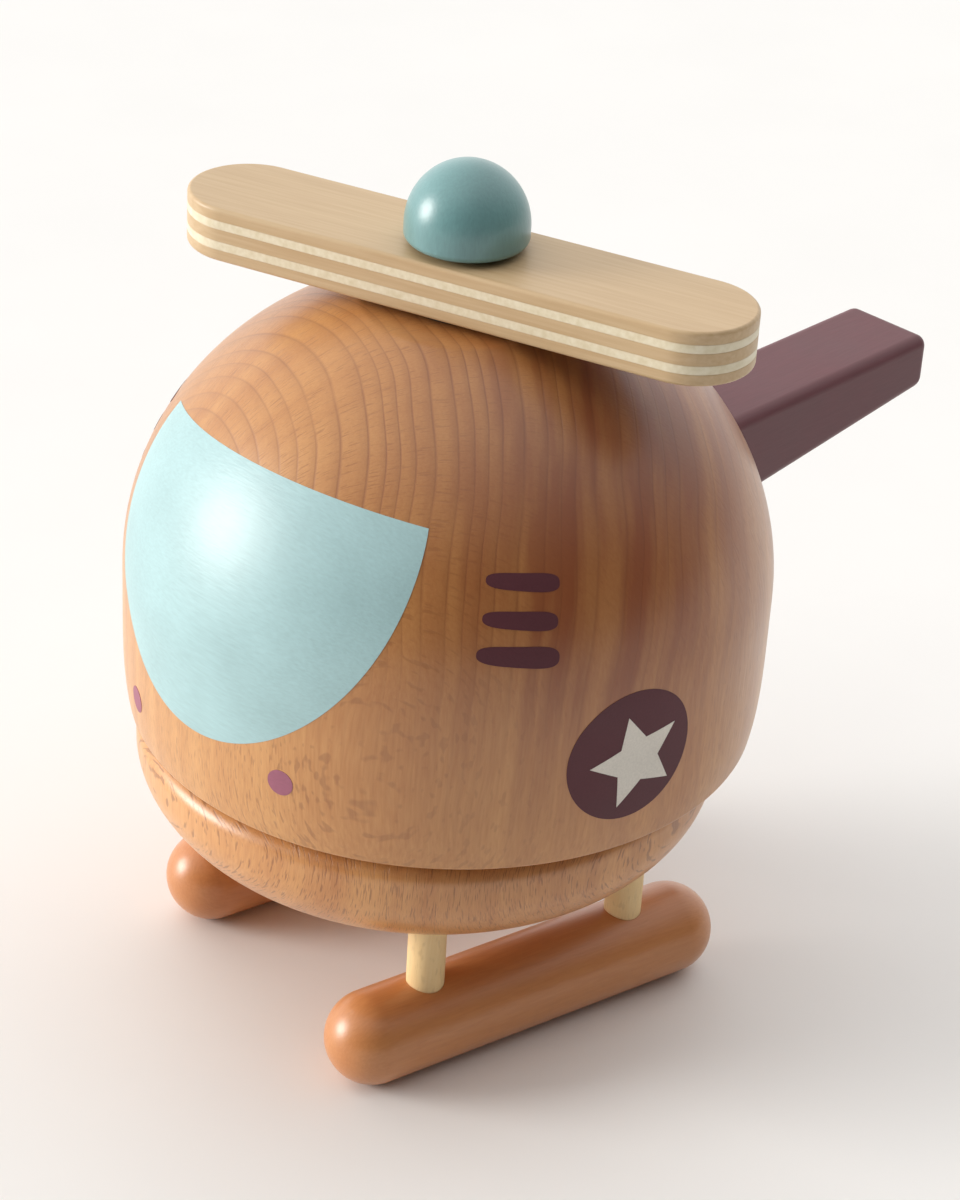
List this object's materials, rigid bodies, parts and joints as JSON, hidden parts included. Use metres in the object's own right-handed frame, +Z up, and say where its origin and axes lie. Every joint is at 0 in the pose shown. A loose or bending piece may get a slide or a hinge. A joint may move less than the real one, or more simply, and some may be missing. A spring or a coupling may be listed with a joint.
{
  "type": "toy helicopter",
  "caption": "Turned wooden toy helicopter: a round cabin with a plain tail turns on a bowl-shaped base with two skids to wind a music movement inside; a flat plywood rotor spins on top.",
  "frame": {"origin": "bottom centre of the toy's box, on the surface that its skids stand on; the cabin's turning axis stands 29.1 mm in front of it, at Y -0.0291", "axes": "+Z up; -Y is the skids' front and +Y their rear, so the tail reaches towards +Y; +X is the toy's own left"},
  "size_m": [0.0998, 0.158, 0.1384],
  "materials": {
    "beech_lacquered": "satin lacquer over turned beech",
    "beech_dark": "satin lacquer over a darker beech rod",
    "birch": "bare birch dowel",
    "plywood": "lacquered plywood with visible plies",
    "teal_paint": "satin pale teal paint on wood",
    "purple_paint": "satin muted purple paint on wood",
    "steel": "bright steel",
    "blued_steel": "blued spring steel",
    "brass": "plain brass",
    "zinc": "die-cast zinc alloy",
    "nylon": "natural nylon",
    "felt": "dark felt"
  },
  "bodies": {
    "chassis": {"base_bowl": "beech_lacquered", "skid_left": "beech_dark", "skid_right": "beech_dark", "leg_front_left": "birch", "leg_rear_left": "birch", "leg_front_right": "birch", "leg_rear_right": "birch", "winding_spindle": "steel", "spindle_lock_nut": "steel", "spindle_washer": "steel", "spindle_jam_nut": "steel", "base_plug": "beech_lacquered", "glide_ring": "nylon", "drive_wheel": "brass", "ratchet_wheel": "steel", "click_pawl": "blued_steel", "spindle_clip": "blued_steel"},
    "cabin": {"cabin_shell": "beech_lacquered", "rotor_axle": "birch", "tail_dowel": "birch", "closing_disc": "plywood", "hub_cap": "teal_paint", "tail_boom": "purple_paint", "spring_barrel": "steel", "comb": "steel", "governor_bracket": "steel", "disc_screw_1": "steel", "disc_screw_2": "steel", "disc_screw_3": "steel", "disc_screw_4": "steel", "movement_screw_1": "steel", "movement_screw_2": "steel", "movement_screw_3": "steel", "comb_screw_1": "steel", "comb_screw_2": "steel", "bracket_screw": "steel", "mainspring": "blued_steel", "spindle_bush": "brass", "bedplate": "zinc", "rotor_washer_lower": "felt", "rotor_washer_upper": "felt"},
    "rotor": {"rotor_blade": "plywood"},
    "music_cylinder": {"pin_cylinder": "brass", "cylinder_arbor": "steel", "cylinder_pinion": "steel"},
    "governor_wheel": {"governor_arbor": "steel", "governor_pinion": "steel", "worm_wheel": "brass"},
    "air_brake": {"governor_worm": "steel", "air_brake": "brass"}
  },
  "joints": [
    {"name": "cabin_turn", "type": "hinge", "parent": "chassis", "child": "cabin", "pos_m": [0, -0.0291, 0.0475], "axis": [0, 0, 1], "continuous": true},
    {"name": "rotor_spin", "type": "hinge", "parent": "cabin", "child": "rotor", "pos_m": [0, -0.0291, 0.1212], "axis": [0, 0, 1], "continuous": true},
    {"name": "cylinder_spin", "type": "hinge", "parent": "cabin", "child": "music_cylinder", "pos_m": [0.02254, -0.02451, 0.0644], "axis": [0.9799, 0.1994, 0], "continuous": true},
    {"name": "governor_wheel_spin", "type": "hinge", "parent": "cabin", "child": "governor_wheel", "pos_m": [-0.01666, -0.03249, 0.0644], "axis": [0.9799, 0.1994, 0], "continuous": true},
    {"name": "air_brake_spin", "type": "hinge", "parent": "cabin", "child": "air_brake", "pos_m": [-0.01815, -0.02514, 0.066], "axis": [0, 0, 1], "continuous": true}
  ],
  "couplings": [
    {"joint": "cylinder_spin", "follows": "cabin_turn", "ratio": 3},
    {"joint": "governor_wheel_spin", "follows": "cabin_turn", "ratio": -3},
    {"joint": "air_brake_spin", "follows": "cabin_turn", "ratio": 90}
  ]
}
